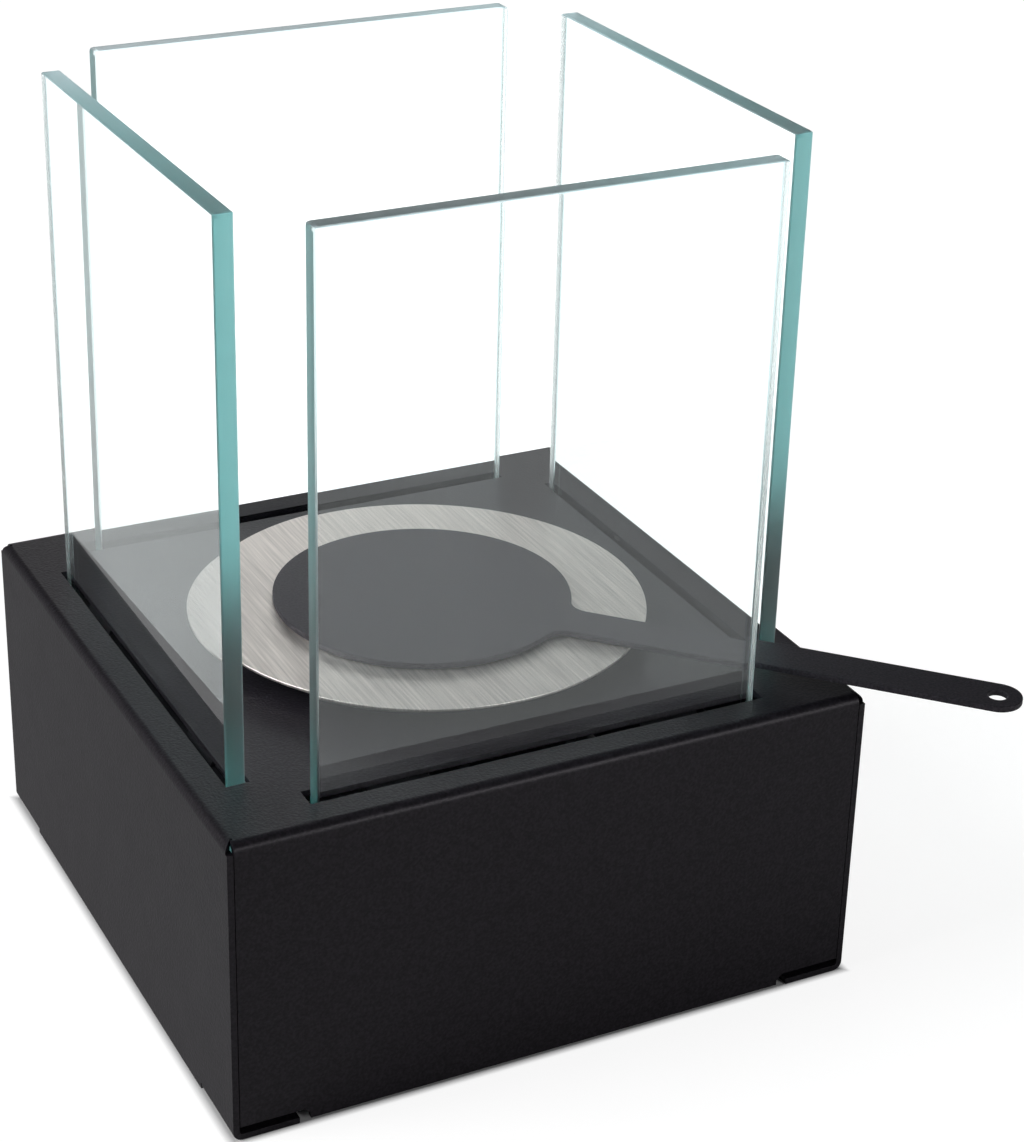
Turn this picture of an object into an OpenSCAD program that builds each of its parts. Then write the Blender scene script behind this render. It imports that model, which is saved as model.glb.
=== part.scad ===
// Table fireplace for bioethanol: a folded steel casing, four loose panes of glass, a round burner
// with a flat ring, and a snuffer lid with a long handle. Millimetres, +Z up, front towards -Y.
// The origin is the middle of the casing, on the surface that it stands on.

/* [Casing] */
// Width of the casing, left to right
case_w = 210; // [180:1:260]
// Depth of the casing, front to back
case_d = 210; // [180:1:260]
// Height of the casing's top above the table
case_h = 101; // [96:1:140]
// Thickness of the casing's sheet steel
sheet_t = 2; // [1.5:0.1:2.5]
// Outer radius of the casing's folds
bend_r = 3; // [3:0.5:6]
// Open seam between the front or back face and the side beside it
seam_gap = 0.2; // [0.2:0.1:0.6]
// Width of the relief cuts at the ends of the side folds
relief_w = 0.4; // [0.4:0.1:1.5]
// How far each foot reaches in under the casing, from its side
foot_reach = 21; // [16:1:30]
// Length of each foot along the side
foot_l = 26; // [18:1:40]
// Width of the slit that frees a foot from the rest of the side
foot_slit = 0.5; // [0.3:0.1:1]
// How far the faces' bare lower edges clear the table
edge_lift = 0.8; // [0.3:0.1:2]
// Height of the notch over each foot in the front and back faces
foot_notch_h = 4.5; // [4:0.5:8]
// How far that notch runs past the foot
foot_notch_past = 3.5; // [2:0.5:8]

/* [Glass] */
// Thickness of the panes
glass_t = 6; // [5:0.5:6]
// Height of the panes above the casing's top
pane_show = 171.5; // [120:0.5:220]
// Depth of the panes' lower edges below the casing's top
pane_sink = 28.5; // [24:0.5:34]
// Distance from the casing's side to the pane's outer face
pane_inset = 12.6; // [12:0.1:16]
// Distance from the casing's side to the end of the panes that run towards it
pane_end_inset = 32.75; // [31:0.25:45]
// Radius of the panes' corners
pane_corner_r = 1.5; // [1:0.1:3]
// Ground bevel along the panes' edges
arris = 0.5; // [0.2:0.1:0.8]
// Room in the slot on the pane's inner side
slot_play_in = 0.3; // [0.2:0.1:0.6]
// Room in the slot on the pane's outer side
slot_play_out = 1.1; // [0.5:0.1:1.5]
// Room in the slot at each end of the pane
slot_play_end = 2.75; // [1:0.25:4]
// How far the back pane stands to the right in its slot
back_pane_slide = 2; // [0:0.5:2]

/* [Rails under the slots] */
// Thickness of the rails' sheet steel
rail_t = 1.5; // [1:0.1:2]
// How far a rail runs past each end of its slot
rail_past = 2; // [1:0.5:3]
// Height of a rail's outer wall above its floor
rail_wall_h = 16; // [8:1:20]
// Width of each fixing ear
ear_w = 20; // [14:1:24]
// Length of each fixing ear
ear_l = 13; // [11:0.5:13]
// Distance from each end of a rail to the middle of the ear there
ear_from_end = 32; // [26:1:34]
// Thickness of the silicone pads under the glass
pad_t = 2; // [1:0.5:4]
// Length of each pad
pad_l = 22; // [12:1:30]
// Distance from each end of a pane to the middle of the pad there
pad_from_end = 24.25; // [18:0.25:34]

/* [Fixings] */
// Diameter of the weld studs
stud_d = 4; // [3:0.5:4]
// Length of the weld studs
stud_l = 9; // [8:0.5:12]
// Width of the nuts across their flats
nut_af = 7; // [5.5:0.5:7]
// Height of the nuts
nut_h = 3.2; // [2.4:0.1:3.5]
// Diameter of the washers
washer_d = 9; // [8:0.5:10]
// Thickness of the washers
washer_t = 0.8; // [0.5:0.1:1]

/* [Burner] */
// Room between the burner's ring and the panes, with the burner in the middle
ring_room = 14.9; // [12:0.1:20]
// Thickness of the ring
ring_t = 1; // [0.8:0.1:1.5]
// Height of the ring's top above the casing's top
ring_stand = 6.3; // [4:0.1:10]
// How far the ring reaches out past the fuel can
ring_reach = 19.5; // [18:0.5:24]
// How far the ring reaches in over the fuel can, to the burner's mouth
ring_lip = 12; // [8:0.5:20]
// Height of the fuel can
can_h = 44; // [34:1:50]
// Wall of the fuel can
can_t = 1; // [0.6:0.1:1.5]
// Width of the flange at the can's top, to which the ring is welded
can_flange = 4; // [2:0.5:5]
// Radius of the can's bottom corner, outside
can_corner_r = 4; // [2:0.5:6]
// Room round the can's flange in the casing's opening
opening_play = 5; // [4:0.5:6]
// How far to the right the burner stands in that opening
burner_shift = 3; // [0:0.5:3]
// Depth of the mouth, from the ring's top to the screen
screen_drop = 8; // [6:0.5:12]
// Thickness of the screen
screen_t = 1; // [0.6:0.1:2]
// Diameter of the screen's holes
screen_hole_d = 5; // [3:0.5:6]
// Spacing of the screen's holes
screen_pitch = 8.5; // [8:0.5:10]
// Least width of the screen's plain rim, outside its holes
screen_rim = 12; // [6:1:20]
// Width of the cradle under the can
cradle_w = 56; // [40:1:60]
// Distance from the cradle's middle to each of its studs, left and right
cradle_stud_x = 18; // [12:1:22]

/* [Snuffer] */
// How far the lid laps over the ring, all round the mouth
lid_lap = 7.5; // [4:0.5:16]
// Thickness of the lid and handle
lid_t = 2; // [1.5:0.1:3]
// Width of the handle
handle_w = 15; // [12:0.5:16]
// Length from the lid's middle to the handle's end
handle_l = 193.5; // [150:0.5:230]
// Radius of the fillets between lid and handle
handle_fillet_r = 7; // [3:0.5:12]
// Diameter of the hanging hole
hang_hole_d = 6; // [4:0.5:8]

/* [Hidden] */
$fn = 96;

// One overrun for every cut, and one clearance wherever a loose piece sits on its seat
over = 1;
seat_gap = 0.3;
thread_gap = 0.05;
// How far a fillet's circle dips into the edges that it joins, so that it crosses both
fillet_dip = 0.05;
hole_gap = 0.25;
fill_gap = 0.5;
cradle_play = 4;
zinc_grey = "gainsboro";
powder_black = [0.13, 0.13, 0.14];

top_under = case_h - sheet_t;
slot_in = pane_inset + glass_t + slot_play_in;
slot_out = pane_inset - slot_play_out;
slot_w = slot_in - slot_out;
pane_h = pane_show + pane_sink;
pane_bottom = case_h - pane_sink;
rail_floor = pane_bottom - seat_gap - pad_t;
pane_w_x = case_w - 2 * pane_end_inset;
pane_w_y = case_d - 2 * pane_end_inset;
stud_hole_d = stud_d + 2 * hole_gap;
rail_stud_in = slot_in + rail_t + ear_l / 2;
ring_d = min(case_w, case_d) - 2 * (pane_inset + glass_t + ring_room);
can_d = ring_d - 2 * ring_reach;
mouth_d = can_d - 2 * ring_lip;
opening_d = can_d + 2 * can_flange + 2 * opening_play;
ring_top = case_h + ring_stand;
can_top = ring_top - ring_t;
can_bottom = can_top - can_h;
shelf_top = can_bottom - seat_gap;
screen_top = ring_top - screen_drop;
screen_d = can_d - 2 * can_t - 2 * fill_gap;
screen_rings = floor((screen_d / 2 - screen_rim - screen_hole_d / 2) / screen_pitch);
cradle_leg = opening_d / 2 + cradle_play;
cradle_stud_y = cradle_leg + rail_t + ear_l / 2;
lid_d = mouth_d + 2 * lid_lap;
lid_bottom = ring_top + seat_gap;
// The handle leaves by the middle of the gap between the front and right panes
gap_inset = (pane_inset + pane_end_inset) / 2;
handle_turn = -atan2(case_d / 2 - gap_inset, case_w / 2 - gap_inset - burner_shift);
handle_end = handle_l - handle_w / 2;

// Length of the rail under a pane of the given width, and how far its ears are from its middle
function rail_l(pane_w) = pane_w + 2 * slot_play_end + 2 * rail_past;
function ear_spread(pane_w) = rail_l(pane_w) / 2 - ear_from_end;

// A quarter of a fold's section: the corner between a wall at +X and a plate at +Y
module fold_section(r, t) {
    intersection() {
        difference() {
            circle(r = r);
            circle(r = r - t);
        }
        square(r + over);
    }
}

// Section of the fold between the top and a side that lies half away
module top_fold_section(half) {
    translate([half - bend_r, case_h - bend_r]) fold_section(bend_r, sheet_t);
}

// Section of that side below its fold, down to low
module wall_section(half, low) {
    translate([half - sheet_t, low]) square([sheet_t, case_h - bend_r - low]);
}

// Section of a side where it is folded in at the bottom as a foot
module foot_section(half) {
    wall_section(half, bend_r);
    translate([half - bend_r, bend_r]) mirror([0, 1]) fold_section(bend_r, sheet_t);
    translate([half - foot_reach, 0]) square([foot_reach - bend_r, sheet_t]);
}

// Stands a section up and runs it along Y, over the given length
module run_y(length) {
    rotate([90, 0, 0]) linear_extrude(height = length, center = true) children();
}

// The left and right: their walls run the full depth, and their folds' ends are cut slantwise,
// clear of the front and back folds
module casing_side() {
    middle_l = case_d - 2 * foot_l - 2 * foot_slit;
    foot_mid = (case_d - foot_l) / 2;
    fold_half = case_d / 2 - (bend_r + relief_w - sheet_t - seam_gap);
    intersection() {
        run_y(case_d) top_fold_section(case_w / 2);
        translate([case_w / 2, 0, case_h - bend_r - over]) linear_extrude(height = bend_r + 2 * over)
            polygon([
                [-bend_r - over, -fold_half + bend_r + over], [over, -fold_half - over],
                [over, fold_half + over], [-bend_r - over, fold_half - bend_r - over]
            ]);
    }
    run_y(case_d) wall_section(case_w / 2, bend_r);
    run_y(middle_l) wall_section(case_w / 2, edge_lift);
    for (side = [-1, 1]) translate([0, side * foot_mid, 0]) run_y(foot_l) foot_section(case_w / 2);
}

// The front and back: they fit between the sides, and are notched over the feet
module casing_end() {
    face_half = case_w / 2 - sheet_t - seam_gap;
    plain_half = case_w / 2 - foot_reach - foot_notch_past;
    slope = (foot_notch_h - edge_lift) / 2;
    rotate(-90) {
        run_y(2 * face_half) top_fold_section(case_d / 2);
        translate([case_d / 2 - sheet_t, 0, 0]) rotate([90, 0, 90]) linear_extrude(height = sheet_t)
            polygon([
                [-face_half, case_h - bend_r], [-face_half, foot_notch_h],
                [-plain_half - slope, foot_notch_h], [-plain_half, foot_notch_h - slope],
                [-plain_half, edge_lift], [plain_half, edge_lift],
                [plain_half, foot_notch_h - slope], [plain_half + slope, foot_notch_h],
                [face_half, foot_notch_h], [face_half, case_h - bend_r]
            ]);
    }
}

module casing_shell() {
    color(powder_black) difference() {
        union() {
            translate([0, 0, top_under + sheet_t / 2])
                cube([case_w - 2 * bend_r, case_d - 2 * bend_r, sheet_t], center = true);
            for (side = [0, 1]) mirror([side, 0, 0]) casing_side();
            for (side = [0, 1]) mirror([0, side, 0]) casing_end();
        }
        // one slot for each pane
        for (turn = [0, 180]) rotate(turn) {
            slot_cut(case_d / 2, pane_w_x);
            rotate(90) slot_cut(case_w / 2, pane_w_y);
        }
        // opening for the burner
        translate([0, 0, top_under - over]) cylinder(d = opening_d, h = sheet_t + 2 * over);
    }
}

// Slot along X, at the face that lies half away towards -Y
module slot_cut(half, pane_w) {
    slot_l = pane_w + 2 * slot_play_end;
    translate([-slot_l / 2, slot_out - half, top_under - over])
        cube([slot_l, slot_w, sheet_t + 2 * over]);
}

// A pane: its face, plan and section cut each other, which grinds every straight edge
module pane(width) {
    intersection() {
        rotate([90, 0, 0]) linear_extrude(height = glass_t, center = true)
            translate([0, pane_h / 2]) rounded_face(width, pane_h, pane_corner_r);
        linear_extrude(height = pane_h) bevelled(width, glass_t);
        rotate([0, 90, 0]) linear_extrude(height = width, center = true)
            translate([-pane_h / 2, 0]) bevelled(pane_h, glass_t);
    }
}

module rounded_face(w, h, r) {
    square([w - 2 * r, h], center = true);
    square([w, h - 2 * r], center = true);
    for (x = [-1, 1], y = [-1, 1]) translate([x * (w / 2 - r), y * (h / 2 - r)]) circle(r = r);
}

module bevelled(w, t) {
    polygon([
        [-w / 2 + arris, -t / 2], [w / 2 - arris, -t / 2],
        [w / 2, -t / 2 + arris], [w / 2, t / 2 - arris],
        [w / 2 - arris, t / 2], [-w / 2 + arris, t / 2],
        [-w / 2, t / 2 - arris], [-w / 2, -t / 2 + arris]
    ]);
}

// Puts a piece made for the front, at half the casing's depth, on any of the four sides
module at_side(turn, half) {
    rotate(turn) translate([0, -half, 0]) children();
}

module pane_at(turn, half, width, slide = 0) {
    color([0.62, 0.85, 0.83, 0.45]) at_side(turn, half)
        translate([slide, pane_inset + glass_t / 2, pane_bottom]) pane(width);
}

// Section of a rail: +X is towards the middle of the casing, +Y is up, 0 is its floor
module rail_section() {
    r = rail_t;
    outer = slot_out;
    inner = slot_in;
    ceiling = top_under - rail_floor;
    translate([outer, -rail_t]) square([inner - outer, rail_t]);
    translate([outer - rail_t, 0]) square([rail_t, rail_wall_h]);
    translate([inner, 0]) square([rail_t, ceiling - 2 * rail_t]);
    translate([inner, 0]) mirror([0, 1]) fold_section(r, rail_t);
    translate([outer, 0]) mirror([1, 0]) mirror([0, 1]) fold_section(r, rail_t);
}

// An ear folded over from the rail's inner wall, flat against the top's underside
module rail_ear() {
    ceiling = top_under - rail_floor;
    start = slot_in;
    translate([start, ceiling - 3 * rail_t]) square([rail_t, rail_t]);
    translate([start + 2 * rail_t, ceiling - 2 * rail_t]) mirror([1, 0]) fold_section(2 * rail_t, rail_t);
    translate([start + 2 * rail_t, ceiling - rail_t]) square([ear_l - rail_t, rail_t]);
}

module rail(pane_w) {
    translate([0, 0, rail_floor]) rotate([90, 0, 90]) {
        linear_extrude(height = rail_l(pane_w), center = true) rail_section();
        for (side = [-1, 1]) translate([0, 0, side * ear_spread(pane_w)]) difference() {
            linear_extrude(height = ear_w, center = true) rail_ear();
            translate([rail_stud_in, 0, 0]) rotate([-90, 0, 0]) cylinder(d = stud_hole_d, h = top_under);
        }
    }
}

module rail_at(turn, half, pane_w) {
    color(powder_black) at_side(turn, half) rail(pane_w);
}

module pads_at(turn, half, pane_w) {
    pad_w = slot_w - 2 * slot_play_in;
    pad_spread = pane_w / 2 - pad_from_end;
    color([0.85, 0.85, 0.83]) at_side(turn, half) for (side = [-1, 1])
        translate([side * pad_spread - pad_l / 2, slot_out + slot_play_in, rail_floor])
            cube([pad_l, pad_w, pad_t]);
}

// Places of the rails' studs, and of the cradle's
module at_rail_studs() {
    for (end = [-1, 1], side = [-1, 1]) {
        translate([end * ear_spread(pane_w_x), side * (case_d / 2 - rail_stud_in), 0]) children();
        translate([side * (case_w / 2 - rail_stud_in), end * ear_spread(pane_w_y), 0]) children();
    }
}

module at_cradle_studs() {
    for (end = [-1, 1], side = [-1, 1])
        translate([end * cradle_stud_x, side * cradle_stud_y, 0]) children();
}

module stud() {
    color(zinc_grey) translate([0, 0, top_under - stud_l]) cylinder(d = stud_d, h = stud_l);
}

module washer() {
    color(zinc_grey) translate([0, 0, top_under - rail_t - washer_t]) difference() {
        cylinder(d = washer_d, h = washer_t);
        translate([0, 0, -over]) cylinder(d = stud_hole_d, h = washer_t + 2 * over);
    }
}

module nut() {
    color(zinc_grey) translate([0, 0, top_under - rail_t - washer_t - nut_h]) difference() {
        cylinder(r = nut_af / sqrt(3), h = nut_h, $fn = 6);
        translate([0, 0, -over]) cylinder(r = stud_d / 2 + thread_gap, h = nut_h + 2 * over);
    }
}

// Half of the cradle's section: the shelf under the can, the leg, and the ear under the top
module cradle_section() {
    r = 2 * rail_t;
    low = shelf_top - rail_t;
    translate([0, low]) square([cradle_leg - rail_t, rail_t]);
    translate([cradle_leg + rail_t - r, low + r]) mirror([0, 1]) fold_section(r, rail_t);
    translate([cradle_leg, low + r]) square([rail_t, top_under - r - low - r]);
    translate([cradle_leg + r, top_under - r]) mirror([1, 0]) fold_section(r, rail_t);
    translate([cradle_leg + r, top_under - rail_t]) square([ear_l - rail_t, rail_t]);
}

module burner_cradle() {
    color(zinc_grey) difference() {
        for (turn = [90, -90]) rotate(turn) run_y(cradle_w) cradle_section();
        at_cradle_studs() translate([0, 0, shelf_top]) cylinder(d = stud_hole_d, h = case_h);
    }
}

module burner_ring() {
    color("silver") translate([burner_shift, 0, can_top]) difference() {
        cylinder(d = ring_d, h = ring_t);
        translate([0, 0, -over]) cylinder(d = mouth_d, h = ring_t + 2 * over);
    }
}

// Half section of a round tin of the given radius, height and bottom corner
module tin_section(r, h, corner) {
    square([r - corner, h]);
    translate([0, corner]) square([r, h - corner]);
    translate([r - corner, corner]) mirror([0, 1]) intersection() {
        circle(r = corner);
        square(corner);
    }
}

module burner_can() {
    r = can_d / 2;
    color("lightgrey") translate([burner_shift, 0, can_bottom]) rotate_extrude() {
        difference() {
            tin_section(r, can_h, can_corner_r);
            translate([0, can_t]) tin_section(r - can_t, can_h, can_corner_r - can_t);
        }
        translate([r - can_t, can_h - can_t]) square([can_t + can_flange, can_t]);
    }
}

module absorbent_fill() {
    low = can_bottom + can_t;
    color("ivory") translate([burner_shift, 0, low]) rotate_extrude()
        tin_section(screen_d / 2, screen_top - screen_t - low, can_corner_r - can_t);
}

module burner_screen() {
    color("silver") translate([burner_shift, 0, screen_top - screen_t]) difference() {
        cylinder(d = screen_d, h = screen_t);
        translate([0, 0, -over]) {
            cylinder(d = screen_hole_d, h = screen_t + 2 * over);
            for (ring = [1:screen_rings], k = [0:6 * ring - 1]) rotate(60 * k / ring)
                translate([ring * screen_pitch, 0, 0])
                    cylinder(d = screen_hole_d, h = screen_t + 2 * over);
        }
    }
}

// Outline of the lid and its handle along +X: a web joins them, and two circles cut it to fillets
module lid_outline() {
    f = handle_fillet_r;
    reach = lid_d / 2 + f - fillet_dip;
    y = handle_w / 2 + f - fillet_dip;
    x = sqrt(reach * reach - y * y);
    difference() {
        union() {
            circle(d = lid_d);
            polygon([[0, 0], [x, -y], [x, y]]);
            translate([0, -handle_w / 2]) square([handle_end, handle_w]);
            translate([handle_end, 0]) circle(d = handle_w);
        }
        for (side = [-1, 1]) translate([x, side * y]) circle(r = f);
    }
}

module snuffer_lid() {
    color(powder_black) translate([burner_shift, 0, lid_bottom]) rotate(handle_turn) difference() {
        linear_extrude(height = lid_t) lid_outline();
        translate([handle_end, 0, -over]) cylinder(d = hang_hole_d, h = lid_t + 2 * over);
    }
}

casing_shell();
rail_at(0, case_d / 2, pane_w_x);  // rail_front
rail_at(180, case_d / 2, pane_w_x);  // rail_back
rail_at(-90, case_w / 2, pane_w_y);  // rail_left
rail_at(90, case_w / 2, pane_w_y);  // rail_right
pads_at(0, case_d / 2, pane_w_x);  // pads_front
pads_at(180, case_d / 2, pane_w_x);  // pads_back
pads_at(-90, case_w / 2, pane_w_y);  // pads_left
pads_at(90, case_w / 2, pane_w_y);  // pads_right
at_rail_studs() stud();  // rail_studs
at_rail_studs() washer();  // rail_washers
at_rail_studs() nut();  // rail_nuts
burner_cradle();
at_cradle_studs() stud();  // cradle_studs
at_cradle_studs() washer();  // cradle_washers
at_cradle_studs() nut();  // cradle_nuts
pane_at(0, case_d / 2, pane_w_x);  // pane_front
pane_at(180, case_d / 2, pane_w_x, -back_pane_slide);  // pane_back
pane_at(-90, case_w / 2, pane_w_y);  // pane_left
pane_at(90, case_w / 2, pane_w_y);  // pane_right
burner_ring();
burner_can();
absorbent_fill();
burner_screen();
snuffer_lid();
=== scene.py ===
from math import pi, radians

import bmesh
import bpy
from mathutils import Matrix, Vector, noise


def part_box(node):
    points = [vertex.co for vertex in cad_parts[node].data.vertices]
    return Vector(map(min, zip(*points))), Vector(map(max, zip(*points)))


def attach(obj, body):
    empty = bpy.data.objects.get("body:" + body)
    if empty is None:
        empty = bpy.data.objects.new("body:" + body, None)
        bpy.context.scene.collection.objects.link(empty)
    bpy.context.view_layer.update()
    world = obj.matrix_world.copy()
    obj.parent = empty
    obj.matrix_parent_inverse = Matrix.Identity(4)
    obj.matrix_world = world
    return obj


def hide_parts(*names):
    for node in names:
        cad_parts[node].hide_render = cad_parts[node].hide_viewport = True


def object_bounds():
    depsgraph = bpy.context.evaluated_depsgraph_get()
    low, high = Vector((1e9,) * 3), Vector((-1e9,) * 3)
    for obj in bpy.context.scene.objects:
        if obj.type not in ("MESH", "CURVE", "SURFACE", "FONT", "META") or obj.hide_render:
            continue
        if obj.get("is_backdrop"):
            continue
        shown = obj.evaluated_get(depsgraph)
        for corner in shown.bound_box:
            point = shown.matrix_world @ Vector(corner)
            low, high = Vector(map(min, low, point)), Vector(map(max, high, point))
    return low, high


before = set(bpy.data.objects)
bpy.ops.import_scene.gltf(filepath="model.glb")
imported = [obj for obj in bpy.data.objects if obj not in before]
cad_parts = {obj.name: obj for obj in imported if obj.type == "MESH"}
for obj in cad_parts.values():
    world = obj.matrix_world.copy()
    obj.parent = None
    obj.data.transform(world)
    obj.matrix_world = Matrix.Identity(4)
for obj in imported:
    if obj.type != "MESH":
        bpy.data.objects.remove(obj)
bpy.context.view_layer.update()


# Camera: stands in front of the fireplace, a little to its left and half a metre up, and
# looks down between the panes. Its place, lens and shift were solved from the edges of the
# casing and the panes, so the shift only frames the object as the photograph does.
def in_scene(name, data):
    """A new object at the origin, linked to the scene."""
    made = bpy.data.objects.new(name, data)
    bpy.context.scene.collection.objects.link(made)
    return made


camera_place = Vector((-0.3255, -0.6920, 0.49996))
camera_right = Vector((0.9013, -0.4330, 0.0147)).normalized()
camera_up = Vector((0.1722, 0.3892, 0.9049))
camera_back = camera_right.cross(camera_up).normalized()
camera_up = camera_back.cross(camera_right).normalized()
camera_turn = Matrix((camera_right, camera_up, camera_back)).transposed().to_4x4()

lens = bpy.data.cameras.new("camera")
lens.sensor_fit = "AUTO"
lens.sensor_width = 36
lens.lens = 84.06
lens.shift_x = 0.0552
lens.shift_y = -0.0583
lens.clip_start = 0.01
camera = in_scene("camera", lens)
camera.matrix_world = Matrix.Translation(camera_place) @ camera_turn
bpy.context.scene.camera = camera
bpy.context.scene.view_settings.view_transform = "Standard"
# Light that enters a pane's edge is mirrored inside it many times before it leaves.
bpy.context.scene.cycles.max_bounces = 24
bpy.context.scene.cycles.glossy_bounces = 20
bpy.context.scene.cycles.transmission_bounces = 20


# Casing: one sheet of 2 mm steel, laser cut and folded down on four sides, with a slot for
# each pane, a round opening for the burner and a foot folded in at each bottom corner.
# Powder coated black with a fine, slightly pebbled texture.
def linear(code):
    """The linear colour of an sRGB hex value."""
    parts = [int(code[i:i + 2], 16) / 255 for i in (1, 3, 5)]
    return tuple(p / 12.92 if p <= 0.04045 else ((p + 0.055) / 1.055) ** 2.4 for p in parts) + (1.0,)


def add(tree, kind, inputs=None, **settings):
    """Adds a node. Its settings are set, and each input gets a value or another node's output."""
    made = tree.nodes.new("ShaderNode" + kind)
    for name, value in settings.items():
        setattr(made, name, value)
    for name, value in (inputs or {}).items():
        if isinstance(value, bpy.types.NodeSocket):
            tree.links.new(value, made.inputs[name])
        else:
            made.inputs[name].default_value = value
    return made


def start_material(name):
    """An empty node material, and its tree."""
    material = bpy.data.materials.new(name)
    material.use_nodes = True
    material.node_tree.nodes.clear()
    return material, material.node_tree


def powder_coat(name, dark, light, grain, relief, dull):
    """Baked powder coat over steel: near black, with small rounded bumps that break up its gloss.
    grain is the bumps' spacing and relief their height, both in metres. dull is its roughness,
    which differs a little from one patch to the next."""
    patch_size = 0.012
    patch_spread = 0.01
    material, tree = start_material(name)
    place = add(tree, "TexCoord").outputs["Object"]
    bumps = add(tree, "TexNoise", {"Vector": place, "Scale": 1 / grain, "Detail": 2.0, "Roughness": 0.45})
    fleck = add(tree, "MapRange", {"Value": bumps.outputs["Fac"], "From Min": 0.35, "From Max": 0.7})
    blend = add(tree, "MixRGB", {"Fac": fleck.outputs["Result"], "Color1": linear(dark),
                                 "Color2": linear(light)})
    patches = add(tree, "TexNoise", {"Vector": place, "Scale": 1 / patch_size, "Detail": 3.0})
    gloss = add(tree, "MapRange", {"Value": patches.outputs["Fac"], "From Min": 0.3, "From Max": 0.7,
                                   "To Min": dull + patch_spread, "To Max": dull - patch_spread})
    hills = add(tree, "Bump", {"Height": bumps.outputs["Fac"], "Distance": relief, "Strength": 1.0})
    coat = add(tree, "BsdfPrincipled", {"Base Color": blend.outputs["Color"], "IOR": 1.5,
                                        "Specular IOR Level": 0.24,
                                        "Specular Tint": linear("#fdf8ff"),
                                        "Roughness": gloss.outputs["Result"],
                                        "Normal": hills.outputs["Normal"]})
    add(tree, "OutputMaterial", {"Surface": coat.outputs["BSDF"]})
    return material


joined_within = 1e-6
flat_within = radians(0.3)
eased_beyond = radians(35)


def eased(node, name, body, material, edge=0):
    """A copy of a CAD node with its cut edges eased by edge, in metres, that stands for the node."""
    # The CAD's loose triangles are joined into flat faces again, so that only real edges are
    # eased, and the copy is shaded from those and not from the CAD's stored normals.
    shape = bmesh.new()
    shape.from_mesh(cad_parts[node].data)
    bmesh.ops.remove_doubles(shape, verts=shape.verts, dist=joined_within)
    bmesh.ops.dissolve_limit(shape, angle_limit=flat_within, verts=shape.verts, edges=shape.edges)
    for face in shape.faces:
        face.smooth = True
    mesh = bpy.data.meshes.new(name)
    shape.to_mesh(mesh)
    shape.free()
    if "custom_normal" in mesh.attributes:
        mesh.attributes.remove(mesh.attributes["custom_normal"])
    mesh.materials.clear()
    mesh.materials.append(material)
    piece = in_scene(name, mesh)
    if edge:
        round_off = piece.modifiers.new("eased edges", "BEVEL")
        round_off.width = edge
        round_off.segments = 2
        round_off.limit_method = "ANGLE"
        round_off.angle_limit = eased_beyond
        round_off.use_clamp_overlap = True
    level = piece.modifiers.new("even shading", "WEIGHTED_NORMAL")
    level.keep_sharp = True
    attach(piece, body)
    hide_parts(node)
    return piece


# The bumps' spacing is chosen so that they show at the picture's size.
casing_coat = powder_coat("fine_texture_powder_coat", "#0a080c", "#1d1a1f",
                          grain=0.0009, relief=0.0001, dull=0.42)
eased("casing_shell", "casing", "casing", casing_coat, edge=0.0004)


# Rails: folded channels of 1.5 mm steel under the slots, which the panes stand in. Coated
# before assembly, and smoother than the casing since they are out of sight.
rail_coat = powder_coat("plain_powder_coat", "#171618", "#1c1b1d", grain=0.0012, relief=0.00002, dull=0.4)
for side in ("front", "back", "left", "right"):
    eased("rail_" + side, "channel_" + side, "casing", rail_coat, edge=0.0002)


# Pads: strips of translucent silicone laid in the rails, two to a rail, that keep the glass off
# the steel. Cut from an extruded strip, so their long edges are soft.
haze_size = 0.002
silicone, tree = start_material("translucent_silicone")
place = add(tree, "TexCoord").outputs["Object"]
haze = add(tree, "TexNoise", {"Vector": place, "Scale": 1 / haze_size, "Detail": 2.0})
dull = add(tree, "MapRange", {"Value": haze.outputs["Fac"], "To Min": 0.35, "To Max": 0.55})
rubber = add(tree, "BsdfPrincipled", {"Base Color": linear("#7d8f8d"), "Roughness": dull.outputs["Result"],
                                      "IOR": 1.41, "Subsurface Weight": 0.6, "Subsurface Scale": 0.002})
add(tree, "OutputMaterial", {"Surface": rubber.outputs["BSDF"]})
for side in ("front", "back", "left", "right"):
    eased("pads_" + side, "silicone_strips_" + side, "casing", silicone, edge=0.0004)


# Studs, washers and nuts: M4 weld studs shot on to the underside of the top, with a plain
# washer and a hexagon nut each. Steel, bright zinc plated with a faint blue cast.
stain_size = 0.003
zinc, tree = start_material("bright_zinc_plate")
place = add(tree, "TexCoord").outputs["Object"]
stain = add(tree, "TexNoise", {"Vector": place, "Scale": 1 / stain_size, "Detail": 3.0})
tint = add(tree, "MixRGB", {"Fac": stain.outputs["Fac"], "Color1": linear("#c2c6cb"),
                            "Color2": linear("#d8d9d6")})
dull = add(tree, "MapRange", {"Value": stain.outputs["Fac"], "To Min": 0.22, "To Max": 0.42})
plate = add(tree, "BsdfPrincipled", {"Base Color": tint.outputs["Color"], "Metallic": 1.0,
                                     "Roughness": dull.outputs["Result"]})
add(tree, "OutputMaterial", {"Surface": plate.outputs["BSDF"]})

for group in ("rail", "cradle"):
    eased(group + "_washers", group + "_washer_set", "casing", zinc, edge=0.00012)
    eased(group + "_nuts", group + "_nut_set", "casing", zinc, edge=0.00025)

stud_radius = 0.002
thread_pitch = 0.0007
thread_depth = 0.0004
steps_per_turn = 14
# How far the studs stand from the casing's middle: the rails' studs outwards and along each
# side, and the cradle's across and to the front and back
rail_stud_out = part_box("rail_studs")[1].x - stud_radius
rail_stud_along = 0.045
cradle_stud_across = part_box("cradle_studs")[1].x - stud_radius
cradle_stud_deep = 0.073


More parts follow.
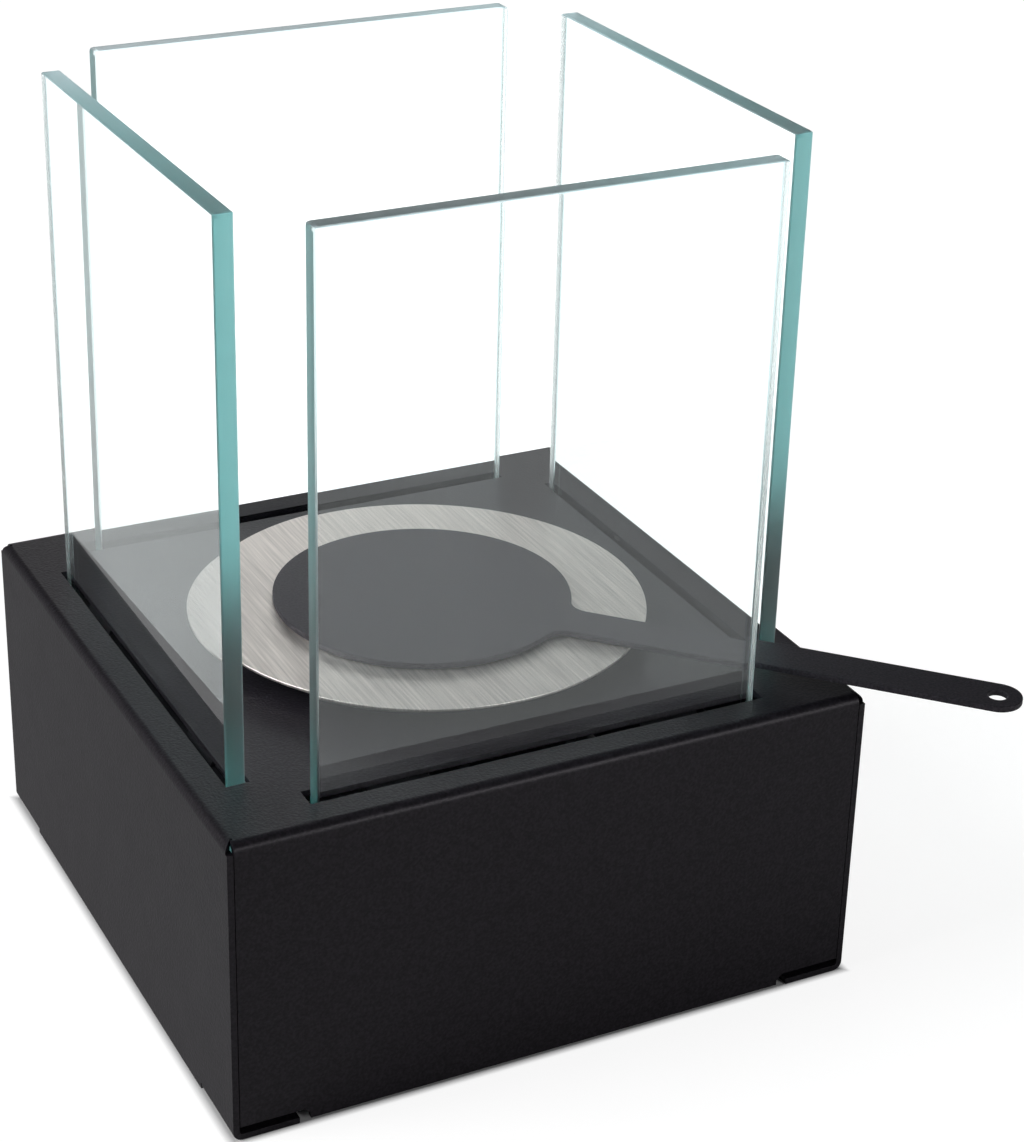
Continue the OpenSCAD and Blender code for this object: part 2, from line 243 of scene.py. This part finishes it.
def four_places(x, y):
    """The four places at x to either side and y to the front and back."""
    return [(across, deep) for across in (-x, x) for deep in (-y, y)]


def threaded_studs(name, node, places):
    """Studs with a real helical thread, each spun round its own axis and cut off square."""
    low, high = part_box(node)
    start = low.z - 2 * thread_pitch
    turns = int((high.z - start) / thread_pitch) + 1
    root = stud_radius - thread_depth
    profile = [(root, start), (stud_radius, start + thread_pitch / 2), (root, start + thread_pitch)]
    shape = bmesh.new()
    for x, y in places:
        middle = Vector((x, y, 0))
        stud = bmesh.new()
        corners = [stud.verts.new(middle + Vector((r, 0, z))) for r, z in profile]
        edges = [stud.edges.new(pair) for pair in zip(corners, corners[1:])]
        bmesh.ops.spin(stud, geom=corners + edges, cent=middle, axis=(0, 0, 1),
                       dvec=(0, 0, thread_pitch / steps_per_turn),
                       angle=2 * pi * turns, steps=steps_per_turn * turns)
        bmesh.ops.remove_doubles(stud, verts=stud.verts, dist=joined_within)
        for height, way in ((low.z, -1), (high.z, 1)):
            everything = stud.verts[:] + stud.edges[:] + stud.faces[:]
            bmesh.ops.bisect_plane(stud, geom=everything, plane_co=(0, 0, height), plane_no=(0, 0, way),
                                   clear_outer=True)
            rim = [e for e in stud.edges
                   if e.is_boundary and all(abs(v.co.z - height) < joined_within for v in e.verts)]
            bmesh.ops.contextual_create(stud, geom=rim)
        bmesh.ops.recalc_face_normals(stud, faces=stud.faces)
        part = bpy.data.meshes.new("stud")
        stud.to_mesh(part)
        stud.free()
        shape.from_mesh(part)
        bpy.data.meshes.remove(part)
    mesh = bpy.data.meshes.new(name)
    shape.to_mesh(mesh)
    shape.free()
    mesh.materials.append(zinc)
    piece = in_scene(name, mesh)
    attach(piece, "casing")
    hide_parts(node)


rail_stud_places = four_places(rail_stud_along, rail_stud_out) + four_places(rail_stud_out, rail_stud_along)
threaded_studs("rail_stud_set", "rail_studs", rail_stud_places)
threaded_studs("cradle_stud_set", "cradle_studs", four_places(cradle_stud_across, cradle_stud_deep))


# Cradle: a folded strap of galvanised sheet under the opening, which the fuel can stands on.
# Hot dip galvanised, so it shows the flat grey flakes of zinc crystals.
flake_size = 0.005
galvanised, tree = start_material("hot_dip_galvanised")
place = add(tree, "TexCoord").outputs["Object"]
flakes = add(tree, "TexVoronoi", {"Vector": place, "Scale": 1 / flake_size})
tint = add(tree, "ValToRGB", {"Fac": flakes.outputs["Color"]})
tint.color_ramp.elements[0].color = linear("#b0b4b6")
tint.color_ramp.elements[1].color = linear("#c0c3c4")
dull = add(tree, "MapRange", {"Value": flakes.outputs["Color"], "To Min": 0.38, "To Max": 0.46})
sheet = add(tree, "BsdfPrincipled", {"Base Color": tint.outputs["Color"], "Metallic": 1.0,
                                     "Roughness": dull.outputs["Result"]})
add(tree, "OutputMaterial", {"Surface": sheet.outputs["BSDF"]})
eased("burner_cradle", "can_cradle", "casing", galvanised, edge=0.0002)


# Panes: 6 mm float glass, cut to size, the edges ground satin and the arrises taken off. The
# faces are clear and polished. Iron in the glass turns it green along the long way through, so
# the ground edges look teal, pale where they gather floor light and deep near the casing. Their
# colour adds painted light on the top edges and painted shade on the upright edges.
polished = 0.0
ground_upright = 0.42
ground_top = 0.55
ground_bottom = 0.3
square_on = 0.99
up_or_down = 0.6
glass, tree = start_material("clear_float_glass")
# Each face carries its own roughness, and its colour is keyed to that: white where it is
# polished, and green-blue where it is ground, lighter on the top edges as painted light and
# duller on the upright edges as painted shade.
ground = add(tree, "Attribute", attribute_name="ground_roughness").outputs["Fac"]
painted_edge_light_and_shade = add(tree, "ValToRGB", {"Fac": ground})
painted_edge_light_and_shade.color_ramp.elements[0].color = linear("#ffffff")
painted_edge_light_and_shade.color_ramp.elements[1].position = ground_top
painted_edge_light_and_shade.color_ramp.elements[1].color = linear("#dff7ff")
painted_edge_light_and_shade.color_ramp.elements.new(ground_upright).color = linear("#c5dadd")
body = add(tree, "BsdfPrincipled", {"Base Color": painted_edge_light_and_shade.outputs["Color"], "Roughness": ground, "IOR": 1.52,
                                    "Transmission Weight": 1.0})
clear = add(tree, "BsdfTransparent", {"Color": linear("#f7f8f8")})
shade = add(tree, "LightPath").outputs["Is Shadow Ray"]
seen = add(tree, "MixShader", {0: shade, 1: body.outputs["BSDF"], 2: clear.outputs["BSDF"]})
iron = add(tree, "VolumeAbsorption", {"Color": linear("#59cecb"), "Density": 10.5})
add(tree, "OutputMaterial", {"Surface": seen.outputs["Shader"], "Volume": iron.outputs["Volume"]})

for side, facing in (("front", 1), ("back", 1), ("left", 0), ("right", 0)):
    pane = eased("pane_" + side, "glass_" + side, side + "_pane", glass)
    satin = pane.data.attributes.new("ground_roughness", "FLOAT", "FACE")
    for face in pane.data.polygons:
        if abs(face.normal[facing]) > square_on:
            satin.data[face.index].value = polished
        elif face.normal.z > up_or_down:
            satin.data[face.index].value = ground_top
        elif face.normal.z < -up_or_down:
            satin.data[face.index].value = ground_bottom
        else:
            satin.data[face.index].value = ground_upright


# Ring: the burner's flat rim, laser cut from 1 mm stainless sheet, brushed straight from front
# to back, and spot welded to the can's flange. The brushing gives it fine streaks of light,
# which are drawn coarse enough to show.
stroke_width = 0.0007
stroke_length = 0.03
stroke_height = 0.01
stroke_depth = 0.000004
stroke_scale = (1 / stroke_width, 1 / stroke_length, 1 / stroke_height)
brushed, tree = start_material("straight_brushed_stainless")
place = add(tree, "TexCoord").outputs["Object"]
along = add(tree, "Mapping", {"Vector": place, "Scale": stroke_scale})
strokes = add(tree, "TexNoise", {"Vector": along.outputs["Vector"], "Scale": 1.0, "Detail": 4.0,
                                 "Roughness": 0.6})
tint = add(tree, "MixRGB", {"Fac": strokes.outputs["Fac"], "Color1": linear("#948d89"),
                            "Color2": linear("#f4ebe5")})
dull = add(tree, "MapRange", {"Value": strokes.outputs["Fac"], "From Min": 0.3, "From Max": 0.7,
                              "To Min": 0.34, "To Max": 0.5})
grooves = add(tree, "Bump", {"Height": strokes.outputs["Fac"], "Distance": stroke_depth, "Strength": 1.0})
across = add(tree, "CombineXYZ", {"X": 1.0, "Y": 0.0, "Z": 0.0})
steel = add(tree, "BsdfPrincipled", {"Base Color": tint.outputs["Color"], "Metallic": 1.0,
                                     "Anisotropic": 0.6, "Roughness": dull.outputs["Result"],
                                     "Normal": grooves.outputs["Normal"],
                                     "Tangent": across.outputs["Vector"]})
add(tree, "OutputMaterial", {"Surface": steel.outputs["BSDF"]})
eased("burner_ring", "brushed_ring", "burner", brushed, edge=0.0002)


# Can and screen: the deep drawn fuel can and the perforated disc that holds the fibre down,
# both left with the sheet's dull mill finish.
cloud_size = 0.004
mill, tree = start_material("mill_finish_stainless")
place = add(tree, "TexCoord").outputs["Object"]
cloud = add(tree, "TexNoise", {"Vector": place, "Scale": 1 / cloud_size, "Detail": 4.0})
tint = add(tree, "MixRGB", {"Fac": cloud.outputs["Fac"], "Color1": linear("#aeadaa"),
                            "Color2": linear("#c8c7c4")})
dull = add(tree, "MapRange", {"Value": cloud.outputs["Fac"], "To Min": 0.28, "To Max": 0.46})
steel = add(tree, "BsdfPrincipled", {"Base Color": tint.outputs["Color"], "Metallic": 1.0,
                                     "Roughness": dull.outputs["Result"]})
add(tree, "OutputMaterial", {"Surface": steel.outputs["BSDF"]})
for node in ("burner_can", "burner_screen"):
    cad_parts[node].data.materials.clear()
    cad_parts[node].data.materials.append(mill)


# Fibre: a puck of felted ceramic fibre that soaks up the fuel. Off-white, with the loose
# matted surface of needled blanket, and rounded at its rims under the screen.
strand_size = 0.0012
mat_depth = 0.0004
fibre, tree = start_material("ceramic_fibre_felt")
place = add(tree, "TexCoord").outputs["Object"]
strands = add(tree, "TexNoise", {"Vector": place, "Scale": 1 / strand_size, "Detail": 5.0, "Roughness": 0.7,
                                 "Distortion": 1.5})
tint = add(tree, "MixRGB", {"Fac": strands.outputs["Fac"], "Color1": linear("#cfc9bb"),
                            "Color2": linear("#f3efe4")})
matted = add(tree, "Bump", {"Height": strands.outputs["Fac"], "Distance": mat_depth, "Strength": 1.0})
wool = add(tree, "BsdfPrincipled", {"Base Color": tint.outputs["Color"], "Roughness": 0.95,
                                    "Sheen Weight": 0.3, "Normal": matted.outputs["Normal"]})
add(tree, "OutputMaterial", {"Surface": wool.outputs["BSDF"]})

low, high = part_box("absorbent_fill")
puck_radius = (high.x - low.x) / 2
puck_sides = 64
rim_round = 0.005
rim_beyond = radians(60)
cap_rings = (0.004, 0.008, 0.01, 0.01)
unevenness = 0.0003
unevenness_spacing = 1 / 300
inside_box = 0.0001
puck = bmesh.new()
bmesh.ops.create_cone(puck, cap_ends=True, segments=puck_sides, radius1=puck_radius, radius2=puck_radius,
                      depth=high.z - low.z, matrix=Matrix.Translation((low + high) / 2))
rims = [e for e in puck.edges if len(e.link_faces) == 2 and e.calc_face_angle() > rim_beyond]
bmesh.ops.bevel(puck, geom=rims, offset=rim_round, segments=5, affect="EDGES", profile=0.5, material=-1)
for inset_by in cap_rings:
    caps = [f for f in puck.faces if len(f.verts) == puck_sides]
    bmesh.ops.inset_region(puck, faces=caps, thickness=inset_by, depth=0)
for vertex in puck.verts:
    uneven_z = vertex.co.z + unevenness * noise.noise(vertex.co / unevenness_spacing)
    vertex.co.z = max(min(uneven_z, high.z - inside_box), low.z + inside_box)
for face in puck.faces:
    face.smooth = True
mesh = bpy.data.meshes.new("fibre_puck")
puck.to_mesh(mesh)
puck.free()
mesh.materials.append(fibre)
piece = in_scene("fibre_puck", mesh)
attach(piece, "burner")
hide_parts("absorbent_fill")


# Snuffer lid: disc and handle cut in one from 2 mm steel, with a hole to hang it by. Powder
# coated like the casing, but with a thinner and more even coat, so it looks a shade lighter.
lid_coat = powder_coat("thin_powder_coat", "#141216", "#2b282d", grain=0.0008, relief=0.00005, dull=0.48)
eased("snuffer_lid", "lid_with_handle", "snuffer", lid_coat, edge=0.0003)


# Floor: a white table top. It takes light and shadow as matt paper does, and round the casing it
# also glows for the camera and the glass, so that both see it white around the soft shadow.
glow_strength = 1.45
glow_to_camera = 0.6
glow_through_satin = 0.83
glow_in_mirror = 0.12
glow_near = 0.7
near_y = -0.45
far_y = -0.15
glow_inwards = 0.0005
glow_outwards = 0.0025
casing_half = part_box("casing_shell")[1].x
table_half = 8
below_feet = 0.0002

paper, tree = start_material("matt_white_paper")
path = add(tree, "LightPath")
spot = add(tree, "SeparateXYZ", {"Vector": add(tree, "TexCoord").outputs["Object"]})
# The glow fades out at the casing's walls, so that the slots look dark from above.
wide = add(tree, "Math", {0: spot.outputs["X"]}, operation="ABSOLUTE")
deep = add(tree, "Math", {0: spot.outputs["Y"]}, operation="ABSOLUTE")
reach = add(tree, "Math", {0: wide.outputs["Value"], 1: deep.outputs["Value"]}, operation="MAXIMUM")
open_floor = add(tree, "MapRange", {"Value": reach.outputs["Value"],
                                    "From Min": casing_half - glow_inwards,
                                    "From Max": casing_half + glow_outwards})
# Seen through a pane, it is white where the view crosses only polished faces, and duller through
# a ground edge and in front of the casing.
rearward = add(tree, "MapRange", {"Value": spot.outputs["Y"], "From Min": near_y, "From Max": far_y,
                                  "To Min": glow_near, "To Max": 1.0})
clearness = add(tree, "MapRange", {"Value": path.outputs["Is Singular Ray"],
                                   "To Min": glow_through_satin, "To Max": 1.0})
bright = add(tree, "Math", {0: clearness.outputs["Result"], 1: rearward.outputs["Result"]},
             operation="MULTIPLY")
through = add(tree, "Math", {0: path.outputs["Is Transmission Ray"], 1: bright.outputs["Value"]},
              operation="MULTIPLY")
mirrored = add(tree, "Math", {0: path.outputs["Is Glossy Ray"], 1: path.outputs["Is Singular Ray"]},
               operation="MULTIPLY")
in_glass = add(tree, "Math", {0: mirrored.outputs["Value"], 1: glow_in_mirror}, operation="MULTIPLY")
direct = add(tree, "Math", {0: path.outputs["Is Camera Ray"], 1: glow_to_camera}, operation="MULTIPLY")
clear_view = add(tree, "Math", {0: direct.outputs["Value"], 1: through.outputs["Value"]},
                 operation="MAXIMUM")
any_view = add(tree, "Math", {0: clear_view.outputs["Value"], 1: in_glass.outputs["Value"]},
               operation="MAXIMUM")
share = add(tree, "Math", {0: any_view.outputs["Value"], 1: open_floor.outputs["Result"]},
            operation="MULTIPLY")
matt = add(tree, "BsdfDiffuse", {"Color": linear("#cdcdcd")})
glow = add(tree, "Emission", {"Color": linear("#ffffff"), "Strength": glow_strength})
lit = add(tree, "MixShader", {0: share.outputs["Value"], 1: matt.outputs["BSDF"],
                              2: glow.outputs["Emission"]})
# Seen from below, the table is left out, so that the underside of the casing shows.
below = add(tree, "Math", {0: add(tree, "NewGeometry").outputs["Backfacing"],
                           1: path.outputs["Is Camera Ray"]}, operation="MULTIPLY")
nothing = add(tree, "BsdfTransparent")
top = add(tree, "MixShader", {0: below.outputs["Value"], 1: lit.outputs["Shader"],
                              2: nothing.outputs["BSDF"]})
add(tree, "OutputMaterial", {"Surface": top.outputs["Shader"]})

table = bmesh.new()
bmesh.ops.create_grid(table, x_segments=1, y_segments=1, size=table_half,
                      matrix=Matrix.Translation((0, 0, -below_feet)))
mesh = bpy.data.meshes.new("table_top")
table.to_mesh(mesh)
table.free()
mesh.materials.append(paper)
floor = in_scene("table_top", mesh)
floor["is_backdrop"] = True


# Light: soft daylight from the left, and two windows. The one in front on the right draws the
# thin line along the front fold, and the one behind shines in the far half of the ring.
daylight_from = Vector((-0.84, 0.22, 0.50))
daylight_data = bpy.data.lights.new("daylight", "SUN")
daylight_data.energy = 3.3
daylight_data.angle = radians(36)
daylight = in_scene("daylight", daylight_data)
daylight.matrix_world = daylight_from.to_track_quat("Z", "Y").to_matrix().to_4x4()

aimed_at = Vector((0, 0, 0.1))
for name, place, width, height, power in (("front_window", (0.6, -1.4, 0.46), 0.55, 0.42, 7.5),
                                          ("back_window", (0.54, 1.5, 0.56), 1.0, 0.36, 2.0)):
    window_data = bpy.data.lights.new(name, "AREA")
    window_data.shape = "RECTANGLE"
    window_data.size = width
    window_data.size_y = height
    window_data.energy = power
    window = in_scene(name, window_data)
    facing = (Vector(place) - aimed_at).to_track_quat("Z", "Y").to_matrix().to_4x4()
    window.matrix_world = Matrix.Translation(place) @ facing


# Room: a dim grey that fills the shadows. The wall behind the table is white to the camera, and
# low down it is white through the glass and mirrored in it too.
white_up_to = 0.2
grey_from = 0.4
dim_grey = (0.072, 0.072, 0.077, 1)
room = bpy.data.worlds.new("room")
room.use_nodes = True
tree = room.node_tree
tree.nodes.clear()
path = add(tree, "LightPath")
way = add(tree, "SeparateXYZ", {"Vector": add(tree, "TexCoord").outputs["Generated"]})
low_down = add(tree, "MapRange", {"Value": way.outputs["Z"], "From Min": white_up_to, "From Max": grey_from,
                                  "To Min": 1.0, "To Max": 0.0})
in_or_through = add(tree, "Math", {0: path.outputs["Is Transmission Ray"],
                                   1: path.outputs["Is Singular Ray"]}, operation="MAXIMUM")
by_glass = add(tree, "Math", {0: in_or_through.outputs["Value"], 1: low_down.outputs["Result"]},
               operation="MULTIPLY")
shown = add(tree, "Math", {0: path.outputs["Is Camera Ray"], 1: by_glass.outputs["Value"]},
            operation="MAXIMUM")
light = add(tree, "Background", {"Color": dim_grey, "Strength": 1.0})
white = add(tree, "Background", {"Color": linear("#ffffff"), "Strength": 1.0})
wall = add(tree, "MixShader", {0: shown.outputs["Value"], 1: light.outputs["Background"],
                               2: white.outputs["Background"]})
add(tree, "OutputWorld", {"Surface": wall.outputs["Shader"]})
bpy.context.scene.world = room

low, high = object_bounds()
